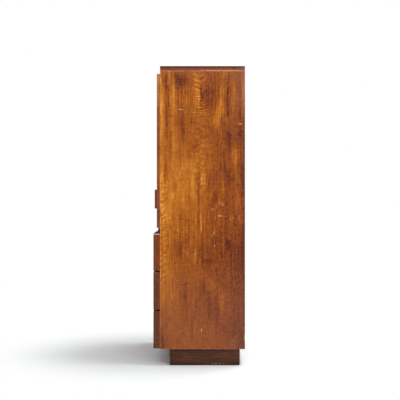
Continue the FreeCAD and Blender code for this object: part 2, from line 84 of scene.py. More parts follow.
class Coat:
    """A material under construction, with short names for the nodes that finishes use."""

    def __init__(self, name):
        self.material = bpy.data.materials.new(name)
        self.material.use_nodes = True
        self.tree = self.material.node_tree
        self.shader = self.tree.nodes["Principled BSDF"]
        coordinates = self.tree.nodes.new("ShaderNodeTexCoord")
        self.x, self.y, self.z = self.node("SeparateXYZ", [coordinates.outputs["Object"]]).outputs
        self.place = (self.x, self.y, self.z)
        self.outward = self.math("ABSOLUTE", self.x)

    def feed(self, socket, value):
        """Links a socket to another node's output, or sets it to a constant."""
        if isinstance(value, bpy.types.NodeSocket):
            self.tree.links.new(value, socket)
        else:
            socket.default_value = value

    def node(self, kind, inputs, **settings):
        """A new node with its settings, and its inputs given in order or by name."""
        made = self.tree.nodes.new("ShaderNode" + kind)
        for key, setting in settings.items():
            setattr(made, key, setting)
        named = inputs.items() if isinstance(inputs, dict) else enumerate(inputs)
        for key, value in named:
            self.feed(made.inputs[key], value)
        return made

    def math(self, operation, *values):
        return self.node("Math", values, operation=operation).outputs[0]

    def add(self, *values):
        total = values[0]
        for value in values[1:]:
            total = self.math("ADD", total, value)
        return total

    def times(self, *values):
        product = values[0]
        for value in values[1:]:
            product = self.math("MULTIPLY", product, value)
        return product

    def less(self, first, second):
        return self.math("SUBTRACT", first, second)

    def about(self, value, gain):
        """A value from 0 to 1 as a swing of the given size about zero."""
        return self.times(self.less(value, 0.5), gain)

    def from_middle(self, value, low, high):
        """How far a value lies from the middle between low and high."""
        return self.math("ABSOLUTE", self.less(value, (low + high) / 2))

    def share(self, value, low, high):
        """How far a value lies from low to high, evenly from 0 to 1."""
        return self.node("MapRange", [value, low, high]).outputs[0]

    def step(self, value, *steps):
        """A smooth step of a value, or the sum of several."""
        made = [self.node("MapRange", [value, *step], interpolation_type="SMOOTHSTEP") for step in steps]
        return self.add(*(node.outputs[0] for node in made))

    def near(self, value, edge, step):
        """A smooth step that runs between two signed distances from an edge."""
        start, end, *gives = step
        return self.step(value, (edge + start, edge + end, *gives))

    def noise(self, place, sizes, seed, detail, roughness, distortion):
        """Noise from 0 to 1 about 0.5, in patches of the given sizes along the coordinates of place."""
        scaled = [self.math("DIVIDE", value, size) for value, size in zip(place, sizes)]
        first = self.add(scaled[0], seed)
        third = scaled[2] if len(scaled) > 2 else seed
        vector = self.node("CombineXYZ", [first, scaled[1], third]).outputs[0]
        inputs = {"Vector": vector, "Scale": 1.0, "Detail": detail, "Roughness": roughness,
                  "Distortion": distortion}
        return self.node("TexNoise", inputs).outputs[0]

    def layer(self, place, layer, seed=0.0, grain=-1):
        """A layer of noise whose grain runs along one coordinate of place, the last if not said."""
        sizes = [layer.across] * len(place)
        sizes[grain] = layer.along
        own_seed = seed + layer.shift
        noise = self.noise(place, sizes, own_seed, layer.detail, layer.roughness, layer.distortion)
        return self.step(noise, layer.step) if layer.step else noise

    def swing(self, place, layer, seed):
        """A layer of noise as a swing about zero, as strong as the layer tells."""
        return self.about(self.layer(place, layer, seed), layer.gain)

    def marks(self, across, up, table):
        """The sum of soft oval marks, each given by its middle, its half sizes and its strength."""
        place = self.node("CombineXYZ", [across, up, 0.0]).outputs[0]
        total = 0.0
        for middle_across, middle_up, half_across, half_up, strength in table:
            middle = (middle_across, middle_up, 0.0)
            halves = (half_across, half_up, 1.0)
            offset = self.node("VectorMath", [place, middle], operation="SUBTRACT").outputs[0]
            scaled = self.node("VectorMath", [offset, halves], operation="DIVIDE").outputs[0]
            reach = self.node("VectorMath", [scaled], operation="LENGTH").outputs["Value"]
            total = self.add(total, self.step(reach, (1.0, 0.0, 0.0, strength)))
        return total

    def mix(self, share, first, second):
        """One value in place of another, by a share from 0 to 1."""
        return self.add(first, self.times(share, self.less(second, first)))

    def tones(self, value, stops, colours):
        """Colours that follow a value through the stops."""
        made = self.node("ValToRGB", [value])
        elements = made.color_ramp.elements
        while len(elements) < len(stops):
            elements.new(0.5)
        for element, position, colour in zip(elements, stops, colours):
            element.position = position
            element.color = colour
        return made.outputs[0]

    def blend(self, share, first, second):
        """One colour laid over another, by a share from 0 to 1."""
        return self.node("Mix", {0: share, 6: first, 7: second}, data_type="RGBA").outputs[2]

    def edges(self, box, width):
        """1 along the edges of a board that fills a box from low to high, and 0 away from them."""
        close = []
        for value, start, end in zip(self.place, *box):
            half = (end - start) / 2
            close.append(self.near(self.from_middle(value, start, end), half, (-width, 0.0)))
        pairs = [self.times(close[first], close[second]) for first, second in ((0, 1), (1, 2), (0, 2))]
        return self.math("MAXIMUM", pairs[0], self.math("MAXIMUM", pairs[1], pairs[2]))

    def finish(self, colour, roughness, height=None, depth=0.0002, metal=0.0, specular=0.08):
        """Joins the colour, roughness and relief to the shader and returns the material."""
        self.feed(self.shader.inputs["Base Color"], colour)
        self.feed(self.shader.inputs["Roughness"], roughness)
        self.shader.inputs["Metallic"].default_value = metal
        self.shader.inputs["Specular IOR Level"].default_value = specular
        if height is not None:
            relief = self.node("Bump", {"Strength": 1.0, "Distance": depth, "Height": height})
            self.feed(self.shader.inputs["Normal"], relief.outputs[0])
        return self.material


# Colours of wood, from dark to light, and the stops of the tone at which they lie
veneer_stops = (0.0, 0.25, 0.5, 0.75, 1.0)
veneer_tones = (
    srgb(84, 29, 2), srgb(128, 58, 6), srgb(159, 84, 12), srgb(188, 111, 28), srgb(224, 148, 56))
timber_stops = (0.15, 0.5, 0.85)
handle_tones = (srgb(98, 52, 30), srgb(146, 88, 54), srgb(178, 114, 74))
moulding_tones = (srgb(36, 20, 14), srgb(58, 34, 24), srgb(84, 50, 36))
top_tones = (srgb(78, 38, 22), srgb(122, 67, 40), srgb(152, 88, 54))
plinth_tones = (srgb(44, 27, 20), srgb(76, 48, 37), srgb(108, 66, 46))
carcass_tones = (srgb(120, 76, 44), srgb(160, 108, 66), srgb(190, 138, 90))
box_tones = (srgb(168, 124, 80), srgb(204, 164, 116), srgb(226, 194, 150))
# Ends of the drawer fronts, darker from the upper drawer down: painted shade towards the foot
shaded_drawer_end_tones = {
    "lower": (srgb(58, 31, 20), srgb(92, 53, 35), srgb(130, 78, 50)),
    "middle": (srgb(66, 33, 20), srgb(103, 55, 34), srgb(140, 79, 47)),
    "upper": (srgb(80, 36, 16), srgb(126, 62, 28), srgb(160, 86, 42)),
}
inside_stops = (0.2, 0.5, 0.8)
lipping_stops = (0.3, 0.5, 0.7)
lipping_tones = (srgb(86, 48, 28), srgb(116, 68, 40), srgb(142, 88, 54))
ply_stops = (0.1, 0.5, 0.9)
ply_tones = (srgb(140, 98, 62), srgb(180, 136, 92), srgb(206, 166, 120))

# A dull veil over old polish, and bare wood where it is rubbed through
veil = srgb(140, 90, 72)
bare_wood = srgb(226, 176, 138)

veneer_polish = Polish(0.36, 0.12, 0.15, 0.4, -0.7)
timber_polish = Polish(0.38, 0.12, 0.12, 0.4, -0.8)

# Bare patches along rubbed edges; rubbing is the width of the rubbed strip and how much of it is bare
rubbed_patches = Layer(0.03, 0.03, 3.0, detail=3.0, step=(0.4, 0.65))


def polished(coat, colour, wood, polish, dulled=0.0, swell=0.0):
    """Polish over wood with open pores, which may be duller in places and swell with a ripple."""
    roughness = coat.add(
        polish.roughness,
        coat.times(wood.streak, polish.streaks),
        coat.times(wood.pores, polish.pores),
        dulled,
    )
    height = coat.add(
        coat.times(wood.fibre, polish.fibre_height),
        coat.times(wood.pores, polish.pore_height),
        swell,
    )
    return coat.finish(colour, roughness, height)


def rubbed_edges(coat, colour, box, rubbing):
    """Pale rubbing along the edges of a board, broken into patches."""
    width, wear = rubbing
    share = coat.times(coat.edges(box, width), coat.layer(coat.place, rubbed_patches), wear)
    return coat.blend(share, colour, bare_wood)


# Layers of veneer grain
veneer_drift = Layer(0.14, 0.5, 0.0, gain=0.05)
veneer_ribbon = Layer(0.055, 1.4, 1.3, gain=0.3)
veneer_streak = Layer(0.011, 0.6, 2.9, gain=0.44)
veneer_lines = Layer(0.0045, 0.45, 3.7, detail=1.0, step=(0.58, 0.68), gain=-0.15)
veneer_fibre = Layer(0.0055, 0.055, 4.1, detail=3.0, roughness=0.6, gain=0.64)
veneer_mottle = Layer(0.016, 0.02, 5.7, detail=3.0, roughness=0.6, gain=0.24)
veneer_pores = Layer(0.0008, 0.012, 6.3, detail=1.0, step=(0.6, 0.72), gain=-0.08)
figured_bars = Layer(0.034, 0.01, 6.9, gain=0.26)
plain_bars = figured_bars._replace(gain=0.06)
veneer_grit = Layer(0.0075, 0.0075, 8.3, gain=0.3)


def veneer_grain(coat, flat, beside, bars, seed):
    """Grain of a veneer leaf that runs along flat[1]: where it lies in the leaf, and what it is made of.

    beside is the distance from the line that the leaves mirror about, and bars the layer of faint bars
    across the grain.
    """
    leaf = (coat.add(beside, coat.swing(flat, veneer_drift, seed)), flat[1])
    streak = coat.layer(leaf, veneer_streak, seed)
    lines = coat.layer(leaf, veneer_lines, seed)
    fibre = coat.layer(leaf, veneer_fibre, seed)
    grit = coat.layer(flat, veneer_grit, seed)
    pores = coat.layer(flat, veneer_pores, seed)
    long = coat.add(
        coat.swing(leaf, veneer_ribbon, seed),
        coat.about(streak, veneer_streak.gain),
        coat.times(lines, veneer_lines.gain),
    )
    fine = coat.add(
        coat.about(fibre, veneer_fibre.gain),
        coat.about(grit, veneer_grit.gain),
        coat.swing(flat, veneer_mottle, seed),
        coat.swing(flat, bars, seed),
        coat.times(pores, veneer_pores.gain),
    )
    return Veneer(leaf, long, fine, grit, streak, fibre, pores)


# How ripples sway, the patches that break them into dashes, and their height in the polish
ripple_sway = Layer(0.022, 0.034, 7.9)
ripple_patches = Layer(0.022, 0.022, 8.7, step=(0.34, 0.6))
ripple_height = 0.15


def ripples(coat, leaf, flat, run, ripple, seed):
    """Bars of light and shade across the grain, broken into dashes, that climb with their run."""
    own_seed = seed + ripple.shift
    sway = coat.times(coat.layer(leaf, ripple_sway, own_seed), ripple.unrest * ripple.pitch)
    along = coat.add(coat.less(flat[1], coat.times(run, ripple.lean)), sway)
    wave = coat.math("SINE", coat.times(along, math.tau / ripple.pitch))
    return coat.times(wave, coat.layer(flat, ripple_patches, own_seed))


def veneered(coat, colour, inside, veneer, ripple):
    """Polished veneer that swells with its ripple, with a plain inner face."""
    colour = coat.blend(inside, colour, coat.tones(veneer.streak, inside_stops, carcass_tones))
    return polished(coat, colour, veneer, veneer_polish, swell=coat.times(ripple, ripple_height))


# Marks of the near side's figure, as shares of its depth and height, with their tone:
# middle from the front, middle from the bottom, half width, half height, tone.
# First broad fields over the whole side, then marks that end at the seam between its two leaves.
field_shares = (
    (0.18, 0.57, 0.46, 0.3, 0.22), (0.4, 0.64, 0.4, 0.14, 0.12),
    (0.5, 0.22, 0.8, 0.26, -0.1), (0.06, 0.3, 0.09, 0.18, 0.14),
    (0.45, 0.25, 0.3, 0.05, 0.08), (0.8, 0.06, 0.14, 0.08, -0.12),
    (0.03, 0.6, 0.08, 0.52, 0.12), (0.07, 0.49, 0.06, 0.06, 0.15),
    (0.03, 0.18, 0.06, 0.06, 0.14), (0.62, 0.22, 0.14, 0.05, 0.1),
    (0.96, 0.03, 0.08, 0.05, -0.22), (0.98, 0.34, 0.26, 0.2, -0.18),
    (0.94, 0.77, 0.12, 0.08, -0.2), (0.7, 0.58, 0.26, 0.2, -0.06),
    (0.7, 0.37, 0.32, 0.12, -0.1), (0.1, 0.23, 0.2, 0.16, 0.16),
    (0.95, 0.08, 0.18, 0.12, -0.14),
)
leaf_shares = (
    (0.025, 0.865, 0.035, 0.14, 0.42), (0.008, 0.955, 0.022, 0.06, 0.26),
    (0.072, 0.962, 0.055, 0.055, -0.36), (0.082, 0.84, 0.03, 0.18, -0.26),
    (0.065, 0.645, 0.04, 0.07, -0.26), (0.105, 0.98, 0.025, 0.04, 0.3),
    (0.153, 0.9, 0.055, 0.11, 0.3), (0.165, 0.76, 0.06, 0.09, 0.16),
    (0.225, 0.972, 0.095, 0.05, -0.27), (0.185, 0.985, 0.05, 0.03, -0.2),
    (0.12, 0.7, 0.035, 0.08, -0.14), (0.26, 0.61, 0.05, 0.05, -0.1),
    (0.315, 0.24, 0.03, 0.03, -0.16), (0.1, 0.02, 0.12, 0.04, -0.12),
    (0.29, 0.965, 0.075, 0.04, -0.26), (0.21, 0.95, 0.07, 0.05, -0.18),
    (0.324, 0.89, 0.035, 0.035, 0.18), (0.355, 0.82, 0.03, 0.035, -0.15),
    (0.22, 0.86, 0.03, 0.025, -0.12), (0.262, 0.8, 0.045, 0.09, -0.26),
    (0.24, 0.7, 0.05, 0.07, -0.12), (0.4, 0.725, 0.06, 0.05, -0.18),
    (0.44, 0.92, 0.06, 0.1, 0.26), (0.4, 0.985, 0.06, 0.025, 0.14),
    (0.37, 0.645, 0.035, 0.06, 0.12), (0.385, 0.58, 0.05, 0.07, 0.16),
    (0.437, 0.615, 0.025, 0.04, -0.16), (0.44, 0.66, 0.02, 0.04, -0.18),
    (0.06, 0.69, 0.06, 0.05, -0.1), (0.175, 0.655, 0.035, 0.06, 0.12),
    (0.12, 0.5, 0.045, 0.07, 0.12), (0.11, 0.4, 0.03, 0.04, 0.14),
    (0.14, 0.56, 0.06, 0.05, 0.16), (0.26, 0.47, 0.07, 0.07, -0.22),
    (0.34, 0.43, 0.012, 0.055, -0.5), (0.31, 0.39, 0.05, 0.035, -0.2),
    (0.098, 0.39, 0.008, 0.06, -0.32), (0.23, 0.37, 0.08, 0.06, -0.22),
    (0.15, 0.36, 0.03, 0.06, -0.14), (0.415, 0.33, 0.04, 0.04, 0.24),
    (0.39, 0.32, 0.03, 0.03, 0.12), (0.39, 0.175, 0.03, 0.05, 0.15),
    (0.465, 0.345, 0.02, 0.03, -0.2), (0.07, 0.24, 0.01, 0.04, -0.28),
    (0.3, 0.235, 0.12, 0.012, -0.2), (0.305, 0.205, 0.03, 0.06, -0.24),
    (0.34, 0.155, 0.02, 0.03, -0.18), (0.42, 0.07, 0.05, 0.06, 0.1),
    (0.375, 0.07, 0.025, 0.06, -0.3), (0.215, 0.03, 0.04, 0.03, -0.16),
    (0.02, 0.02, 0.06, 0.08, -0.44), (0.455, 0.9, 0.026, 0.1, 0.1),
    (0.46, 0.985, 0.022, 0.03, 0.16), (0.43, 0.735, 0.05, 0.025, -0.12),
    (0.455, 0.57, 0.032, 0.15, -0.3), (0.455, 0.46, 0.03, 0.06, -0.14),
    (0.315, 0.12, 0.03, 0.08, -0.14), (0.56, 0.912, 0.15, 0.075, -0.26),
    (0.685, 0.8, 0.05, 0.04, 0.14), (0.895, 0.8, 0.04, 0.04, 0.12),
    (0.61, 0.57, 0.05, 0.06, 0.12), (0.755, 0.57, 0.035, 0.06, 0.1),
    (0.895, 0.46, 0.04, 0.06, -0.1), (0.535, 0.33, 0.04, 0.03, 0.12),
    (0.98, 0.62, 0.055, 0.15, -0.24), (0.486, 0.914, 0.036, 0.06, -0.18),
    (0.5, 0.735, 0.035, 0.025, 0.1), (0.495, 0.36, 0.036, 0.09, -0.24),
    (0.59, 0.906, 0.03, 0.018, 0.14), (0.73, 0.93, 0.04, 0.05, 0.24),
    (0.745, 0.865, 0.04, 0.04, 0.2), (0.65, 0.865, 0.02, 0.03, -0.2),
    (0.76, 0.988, 0.07, 0.015, 0.25), (0.715, 0.885, 0.045, 0.05, 0.3),
    (0.69, 0.845, 0.06, 0.06, 0.36), (0.64, 0.815, 0.06, 0.04, 0.24),
    (0.8, 0.91, 0.025, 0.1, -0.24), (0.8, 0.845, 0.025, 0.04, -0.2),
    (0.875, 0.91, 0.04, 0.11, 0.22), (0.945, 0.93, 0.025, 0.09, -0.24),
    (0.945, 0.842, 0.04, 0.04, -0.2), (0.97, 0.93, 0.05, 0.08, 0.34),
    (0.49, 0.855, 0.05, 0.03, 0.2), (0.6, 0.7, 0.06, 0.11, 0.14),
    (0.81, 0.76, 0.06, 0.07, -0.26), (0.885, 0.69, 0.05, 0.07, 0.34),
    (0.765, 0.63, 0.008, 0.08, -0.2), (0.802, 0.63, 0.008, 0.08, -0.24),
    (0.83, 0.61, 0.07, 0.025, -0.12), (0.715, 0.64, 0.07, 0.05, -0.1),
    (0.77, 0.585, 0.06, 0.04, 0.14), (0.505, 0.605, 0.04, 0.045, 0.2),
    (0.58, 0.6, 0.03, 0.06, -0.16), (0.486, 0.455, 0.016, 0.065, 0.6),
    (0.9, 0.53, 0.08, 0.06, 0.08), (0.74, 0.6, 0.04, 0.1, 0.12),
    (0.8, 0.375, 0.042, 0.026, -0.42), (0.8, 0.375, 0.018, 0.012, 0.3),
    (0.845, 0.3, 0.008, 0.24, -0.26), (0.834, 0.43, 0.008, 0.08, 0.22),
    (0.51, 0.22, 0.06, 0.05, -0.18), (0.56, 0.315, 0.12, 0.04, -0.16),
    (0.72, 0.17, 0.06, 0.07, 0.24), (0.585, 0.15, 0.05, 0.1, -0.2),
    (0.67, 0.13, 0.06, 0.07, -0.12), (0.99, 0.345, 0.05, 0.12, -0.46),
    (0.985, 0.1, 0.03, 0.16, -0.14),
)

# Pale scratches and scuffs of the near side, in the same shares, with how much they cover
scratch_shares = (
    (0.236, 0.862, 0.024, 0.0032, 1.4), (0.264, 0.8605, 0.022, 0.0026, 0.9),
    (0.944, 0.8105, 0.021, 0.0034, 1.2), (0.736, 0.52, 0.018, 0.01, 0.45),
    (0.705, 0.525, 0.04, 0.006, 0.22), (0.625, 0.502, 0.05, 0.008, 0.25),
    (0.66, 0.512, 0.014, 0.01, 0.25), (0.708, 0.479, 0.04, 0.0045, 0.7),
    (0.77, 0.477, 0.03, 0.0045, 0.3), (0.855, 0.473, 0.018, 0.005, 0.3),
    (0.65, 0.47, 0.014, 0.014, 0.25), (0.635, 0.417, 0.018, 0.012, 0.4),
    (0.612, 0.408, 0.01, 0.008, 0.4), (0.64, 0.372, 0.014, 0.0055, 0.7),
    (0.924, 0.472, 0.026, 0.016, 0.22), (0.49, 0.068, 0.011, 0.009, 0.9),
    (0.145, 0.188, 0.014, 0.012, 0.25), (0.41, 0.342, 0.03, 0.005, 0.28),
    (0.325, 0.344, 0.018, 0.005, 0.28), (0.86, 0.03, 0.008, 0.006, 0.5),
    (0.972, 0.076, 0.01, 0.005, 0.7), (0.996, 0.04, 0.012, 0.025, 0.5),
)

# The two leaves of a side meet at this share of its depth, within this half width
seam_share = 0.47
seam_half_width = 0.001

# Places on a side: flat, in shares of its depth and height, beside the seam, and 1 behind the seam
SidePlace = namedtuple("SidePlace", "flat across up beside behind")

# Ripples of a side: chevrons, bars and lumps along the seam, how strong the lumps are, how far from the
# seam they reach, strokes by the front edge, and where over the side they all come and go
chevron_ripple = Ripple(0.42, 0.025, 0.9)
bar_ripple = Ripple(0.15, 0.014, 1.2, 1.0)
lump_ripple = Ripple(0.014, 0.028, 1.6, 2.0)
stroke_ripple = Ripple(0.5, 0.03, 1.6, 3.0)
lump_gain = 0.42
seam_reach_step = (0.05, 0.012)
chevron_shares = (0.89, 0.94)
bar_shares = (0.81, 0.86)
seam_foot_shares = (0.5, 0.66)
seam_top_shares = (1.0, 0.94, 0.5, 1.0)
stroke_depth_shares = (0.12, 0.02)
stroke_top_shares = (0.68, 0.58)
stroke_foot_shares = (0.12, 0.3, 0.0, 0.6)

# Ragged outlines of the marks, and clouds towards the top of a side without marks
ragged_sides = Layer(0.01, 0.1, 9.1, detail=3.0, gain=0.055)
ragged_ends = Layer(0.02, 0.05, 9.9, detail=3.0, gain=0.05)
side_cloud = Layer(0.1, 0.13, 10.7, detail=3.0, step=(0.5, 0.75))
cloud_shares = (0.6, 0.9)

# Tone of a side: how strong its grain is from the foot up, painted shade towards the back and the foot,
# painted highlights along the front and top arrises, painted shade along the back arris, and the seam
side_tone = 0.435
long_grain_shares = (0.2, 0.5, 0.7, 1.0)
fine_grain_shares = (0.1, 0.4, 0.9, 1.1)
side_ripple_gain = 0.32
# Painted shade towards the back and the foot, painted highlights on the front and top arrises, and painted
# shade along the back arris
back_shade_shares = (0.3, 1.0, 0.04, -0.12)
foot_shade_shares = (0.0, 0.45, -0.06, 0.0)
front_arris_highlight_shares = (0.016, 0.0, 0.0, 0.36)
top_arris_highlight_shares = (0.994, 1.0, 0.0, 0.1)
back_arris_shade_shares = (0.978, 1.0)
arris_height_shares = (0.97, 0.8)
back_arris_shade_tone = -0.42
seam_line_step = (0.0025, 0.0, 0.0, -0.06)

# Veil of a side: all over, with the grit, and towards the foot, the back, the top, the bottom edge and
# the upper back corner
old_veil = 0.04
side_grit_veil = 0.7
foot_veil_shares = (0.45, 0.0, 0.0, 0.3)
back_veil_shares = (0.7, 1.0, 0.0, 0.06)
top_veil_shares = (0.93, 1.0, 0.0, 0.1)
bottom_veil_shares = (0.006, 0.0, 0.0, 0.22)
corner_veil = 0.28
corner_depth_shares = (0.8, 1.0)
corner_height_shares = (0.8, 0.92)

# Wear of a side: what breaks up its scratches, and the chips along its edges, whose pale rubbing is partly
# wear and partly a painted highlight on the arrises
scratch_breaks = Layer(0.006, 0.006, 11.3, step=(0.3, 0.55))
side_chips = Layer(0.02, 0.07, 12.1, detail=3.0, step=(0.42, 0.62))
side_edge_wear_and_highlight = (0.004, 0.35)

# The lipping on the front and back edges of a side starts this far inside them, and the plain inner
# face ends this far out from it
lipping_step = (-0.0012, -0.0004)
side_inside_step = (0.004, 0.001)


def side_place(coat):
    """Where the points of a case side lie."""
    seam = side_low.y + seam_share * (side_high.y - side_low.y)
    from_seam = coat.less(coat.y, seam)
    return SidePlace(
        flat=(coat.y, coat.z),
        across=coat.share(coat.y, side_low.y, side_high.y),
        up=coat.share(coat.z, side_low.z, side_high.z),
        beside=coat.math("ABSOLUTE", from_seam),
        behind=coat.step(from_seam, (-seam_half_width, seam_half_width)),
    )


def side_ripple(coat, place, leaf, seed):
    """Chevrons by the seam at the top, finer bars below them, then lumps, and strokes by the front edge."""
    chevrons = ripples(coat, leaf, place.flat, place.beside, chevron_ripple, seed)
    bars = ripples(coat, leaf, place.flat, place.beside, bar_ripple, seed)
    lumps = ripples(coat, leaf, place.flat, place.behind, lump_ripple, seed)
    strokes = ripples(coat, leaf, place.flat, coat.y, stroke_ripple, seed)
    lower_wave = coat.mix(coat.step(place.up, bar_shares), coat.times(lumps, lump_gain), bars)
    by_seam = coat.times(
        coat.mix(coat.step(place.up, chevron_shares), lower_wave, chevrons),
        coat.step(place.beside, seam_reach_step),
        coat.step(place.up, seam_foot_shares),
        coat.step(place.up, seam_top_shares),
    )
    by_front = coat.times(
        strokes,
        coat.step(place.across, stroke_depth_shares),
        coat.step(place.up, stroke_top_shares),
        coat.step(place.up, stroke_foot_shares),
    )
    return coat.add(by_seam, by_front)


def side_figure(coat, place, marks, upper_darkening, seed):
    """Broad fields, streaks and smudges of a side's figure, with ragged outlines, and smoky clouds."""
    across = coat.add(place.across, coat.swing(place.flat, ragged_sides, seed))
    up = coat.add(place.up, coat.swing(place.flat, ragged_ends, seed))
    cloud = coat.layer(place.flat, side_cloud, seed)
    front_marks = [mark for mark in marks if mark[0] < seam_share]
    back_marks = [mark for mark in marks if mark[0] > seam_share]
    return coat.add(
        coat.marks(across, up, field_shares),
        coat.times(coat.marks(across, up, front_marks), coat.less(1.0, place.behind)),
        coat.times(coat.marks(across, up, back_marks), place.behind),
        coat.times(cloud, coat.step(place.up, cloud_shares), -upper_darkening),
    )


def side_colour(coat, place, veneer, figure, ripple, back_arris_shade):
    """The veneer's colour from its grain, figure and ripple, with painted light and shade on the side and
    its edges.
    """
    tone = coat.add(
        side_tone,
        coat.times(veneer.long, coat.step(place.up, long_grain_shares)),
        coat.times(veneer.fine, coat.step(place.up, fine_grain_shares)),
        figure,
        coat.times(ripple, side_ripple_gain),
        # Painted shade towards the back and the foot, painted highlights along the front and top arrises
        coat.step(place.across, back_shade_shares, front_arris_highlight_shares),
        coat.step(place.up, foot_shade_shares, top_arris_highlight_shares),
        # Painted shade along the back arris
        coat.times(back_arris_shade, back_arris_shade_tone),
        coat.step(place.beside, seam_line_step),
    )
    return coat.tones(tone, veneer_stops, veneer_tones)


def side_veil(coat, place, veneer, colour):
    """The dull veil of old polish over a side."""
    in_corner = coat.times(
        coat.step(place.across, corner_depth_shares),
        coat.step(place.up, corner_height_shares),
    )
    veiled = coat.add(
        old_veil,
        coat.about(veneer.grit, side_grit_veil),
        coat.step(place.across, back_veil_shares),
        coat.step(place.up, foot_veil_shares, top_veil_shares, bottom_veil_shares),
        coat.times(in_corner, corner_veil),
    )
    return coat.blend(veiled, colour, veil)


def side_wear(coat, place, colour, scratches, back_arris_shade, seed):
    """Scratches, and pale edges, partly wear and partly a painted highlight, except at the shaded back
    arris.
    """
    breaks = coat.layer(place.flat, scratch_breaks, seed)
    scratched = coat.times(coat.marks(place.across, place.up, scratches), breaks)
    chips = coat.layer(place.flat, side_chips, seed)
    # Pale edges: partly wear, partly a painted highlight on the arrises
    width, wear = side_edge_wear_and_highlight
    edge = coat.edges((side_low, side_high), width)
    rubbed_and_lit = coat.times(edge, chips, coat.mix(back_arris_shade, wear, 0.0))
    return coat.blend(coat.math("MAXIMUM", scratched, rubbed_and_lit), colour, bare_wood)


def side_veneer(name, marks, scratches, seed, upper_darkening):
    """Figured veneer of a case side in two mirrored leaves, lipped and with a plain inner face."""
    coat = Coat(name)
    place = side_place(coat)
    veneer = veneer_grain(coat, place.flat, place.beside, figured_bars, seed)
    ripple = side_ripple(coat, place, veneer.leaf, seed)
    figure = side_figure(coat, place, marks, upper_darkening, seed)
    # Where the back arris gets its painted shade
    back_arris_shade = coat.times(
        coat.step(place.across, back_arris_shade_shares),
        coat.step(place.up, arris_height_shares),
    )
    colour = side_colour(coat, place, veneer, figure, ripple, back_arris_shade)
    colour = side_veil(coat, place, veneer, colour)
    colour = side_wear(coat, place, colour, scratches, back_arris_shade, seed)
    from_middle = coat.from_middle(coat.y, side_low.y, side_high.y)
    lipped = coat.near(from_middle, (side_high.y - side_low.y) / 2, lipping_step)
    colour = coat.blend(lipped, colour, coat.tones(veneer.fibre, lipping_stops, lipping_tones))
    inside = coat.near(coat.outward, side_low.x, side_inside_step)
    return veneered(coat, colour, inside, veneer, ripple)


# Both doors have one seed, so that each mirrors the other
door_seed = 21.0

# Tone of a door: its ripple and how that fades from the mirror line, its clouds, its painted shade, lighter
# at the top and darker at the foot, and its veil in shares of its height
door_tone = 0.48
door_ripple = Ripple(0.4, 0.02, 1.4)
door_ripple_step = (0.16, 0.01, 0.15, 1.0)
door_ripple_gain = 0.16
door_cloud = Layer(0.09, 0.16, 10.7, detail=3.0, step=(0.5, 0.75), gain=-0.25)
door_shade_shares = (0.0, 1.0, -0.1, 0.1)
door_grit_veil = 0.6
door_veil_shares = (0.3, 0.05, 0.06, 0.32)
door_rubbing = (0.003, 0.3)

# The lipped edge on the hinge side: pale towards the case and the top, painted highlights, and dark and
# dull towards the bottom, painted shade
door_lipping_step = (-0.003, -0.001)
door_lipping_tone = 0.25
door_lipping_grain = 0.6
lipping_highlight_step = (-0.006, -0.003, 0.0, 0.16)
lipping_top_light_shares = (0.74, 0.92, 0.0, 0.28)
lipping_foot_shade_shares = (0.17, 0.08, 0.0, -0.3)
lipping_top_highlight_shares = (0.7, 0.95, 0.0, 0.16)
door_inside_step = (-0.0015, -0.0005)


def door_colour(coat, box, veneer, ripple, up):
    """Colour of a door's face and of its lipped edge, with painted light and shade from top to foot, under
    the veil.
    """
    low, high = box
    grain = coat.add(veneer.long, veneer.fine)
    cloud = coat.layer(veneer.leaf, door_cloud, door_seed)
    panel_tone = coat.add(
        door_tone,
        grain,
        coat.times(ripple, door_ripple_gain),
        coat.times(cloud, door_cloud.gain),
        # Painted light and shade: lighter at the top, darker at the foot
        coat.step(up, door_shade_shares),
    )
    lipping_tone = coat.add(
        door_lipping_tone,
        coat.times(grain, door_lipping_grain),
        # Painted highlight by the case, painted light towards the top and painted shade towards the foot
        coat.near(coat.y, high.y, lipping_highlight_step),
        coat.step(up, lipping_top_light_shares, lipping_foot_shade_shares),
    )
    lipped = coat.near(coat.outward, max(abs(low.x), abs(high.x)), door_lipping_step)
    colour = coat.tones(coat.mix(lipped, panel_tone, lipping_tone), veneer_stops, veneer_tones)
    veiled = coat.add(old_veil, coat.about(veneer.grit, door_grit_veil), coat.step(up, door_veil_shares))
    colour = coat.blend(veiled, colour, veil)
    # A pale painted highlight towards the top of the lipped edge
    return coat.blend(coat.times(lipped, coat.step(up, lipping_top_highlight_shares)), colour, bare_wood)


def door_veneer(name, box):
    """Figured veneer of a door: two mirrored leaves, which the other door mirrors again."""
    coat = Coat(name)
    low, high = box
    flat = (coat.outward, coat.z)
    up = coat.share(coat.z, low.z, high.z)
    beside = coat.from_middle(coat.outward, abs(low.x), abs(high.x))
    veneer = veneer_grain(coat, flat, beside, figured_bars, door_seed)
    ripple = coat.times(
        ripples(coat, veneer.leaf, flat, beside, door_ripple, door_seed),
        coat.step(beside, door_ripple_step),
    )
    colour = door_colour(coat, box, veneer, ripple, up)
    colour = rubbed_edges(coat, colour, box, door_rubbing)
    return veneered(coat, colour, coat.near(coat.y, high.y, door_inside_step), veneer, ripple)


# Solid timber: where the heart of the tree lies from the middle of a board, its rings, and its layers
heart_stray = 0.07
heart_distance = 0.16
heart_rise = 0.05
narrow_rings = 0.006
ring_step = (-0.9, 1.0)
ring_gain = 0.18
timber_tone = 0.5
timber_bow = Layer(0.16, 1.1, 0.0, gain=0.05)
timber_streak = Layer(0.016, 0.55, 1.3, detail=3.0, gain=0.6)
timber_fibre = Layer(0.003, 0.1, 2.9, detail=3.0, gain=0.4)
timber_pores = Layer(0.0009, 0.014, 4.1, detail=1.0, step=(0.58, 0.7), gain=-0.12)
timber_broad = Layer(0.09, 0.7, 5.7, gain=0.55)
timber_rubbing = (0.004, 0.3)


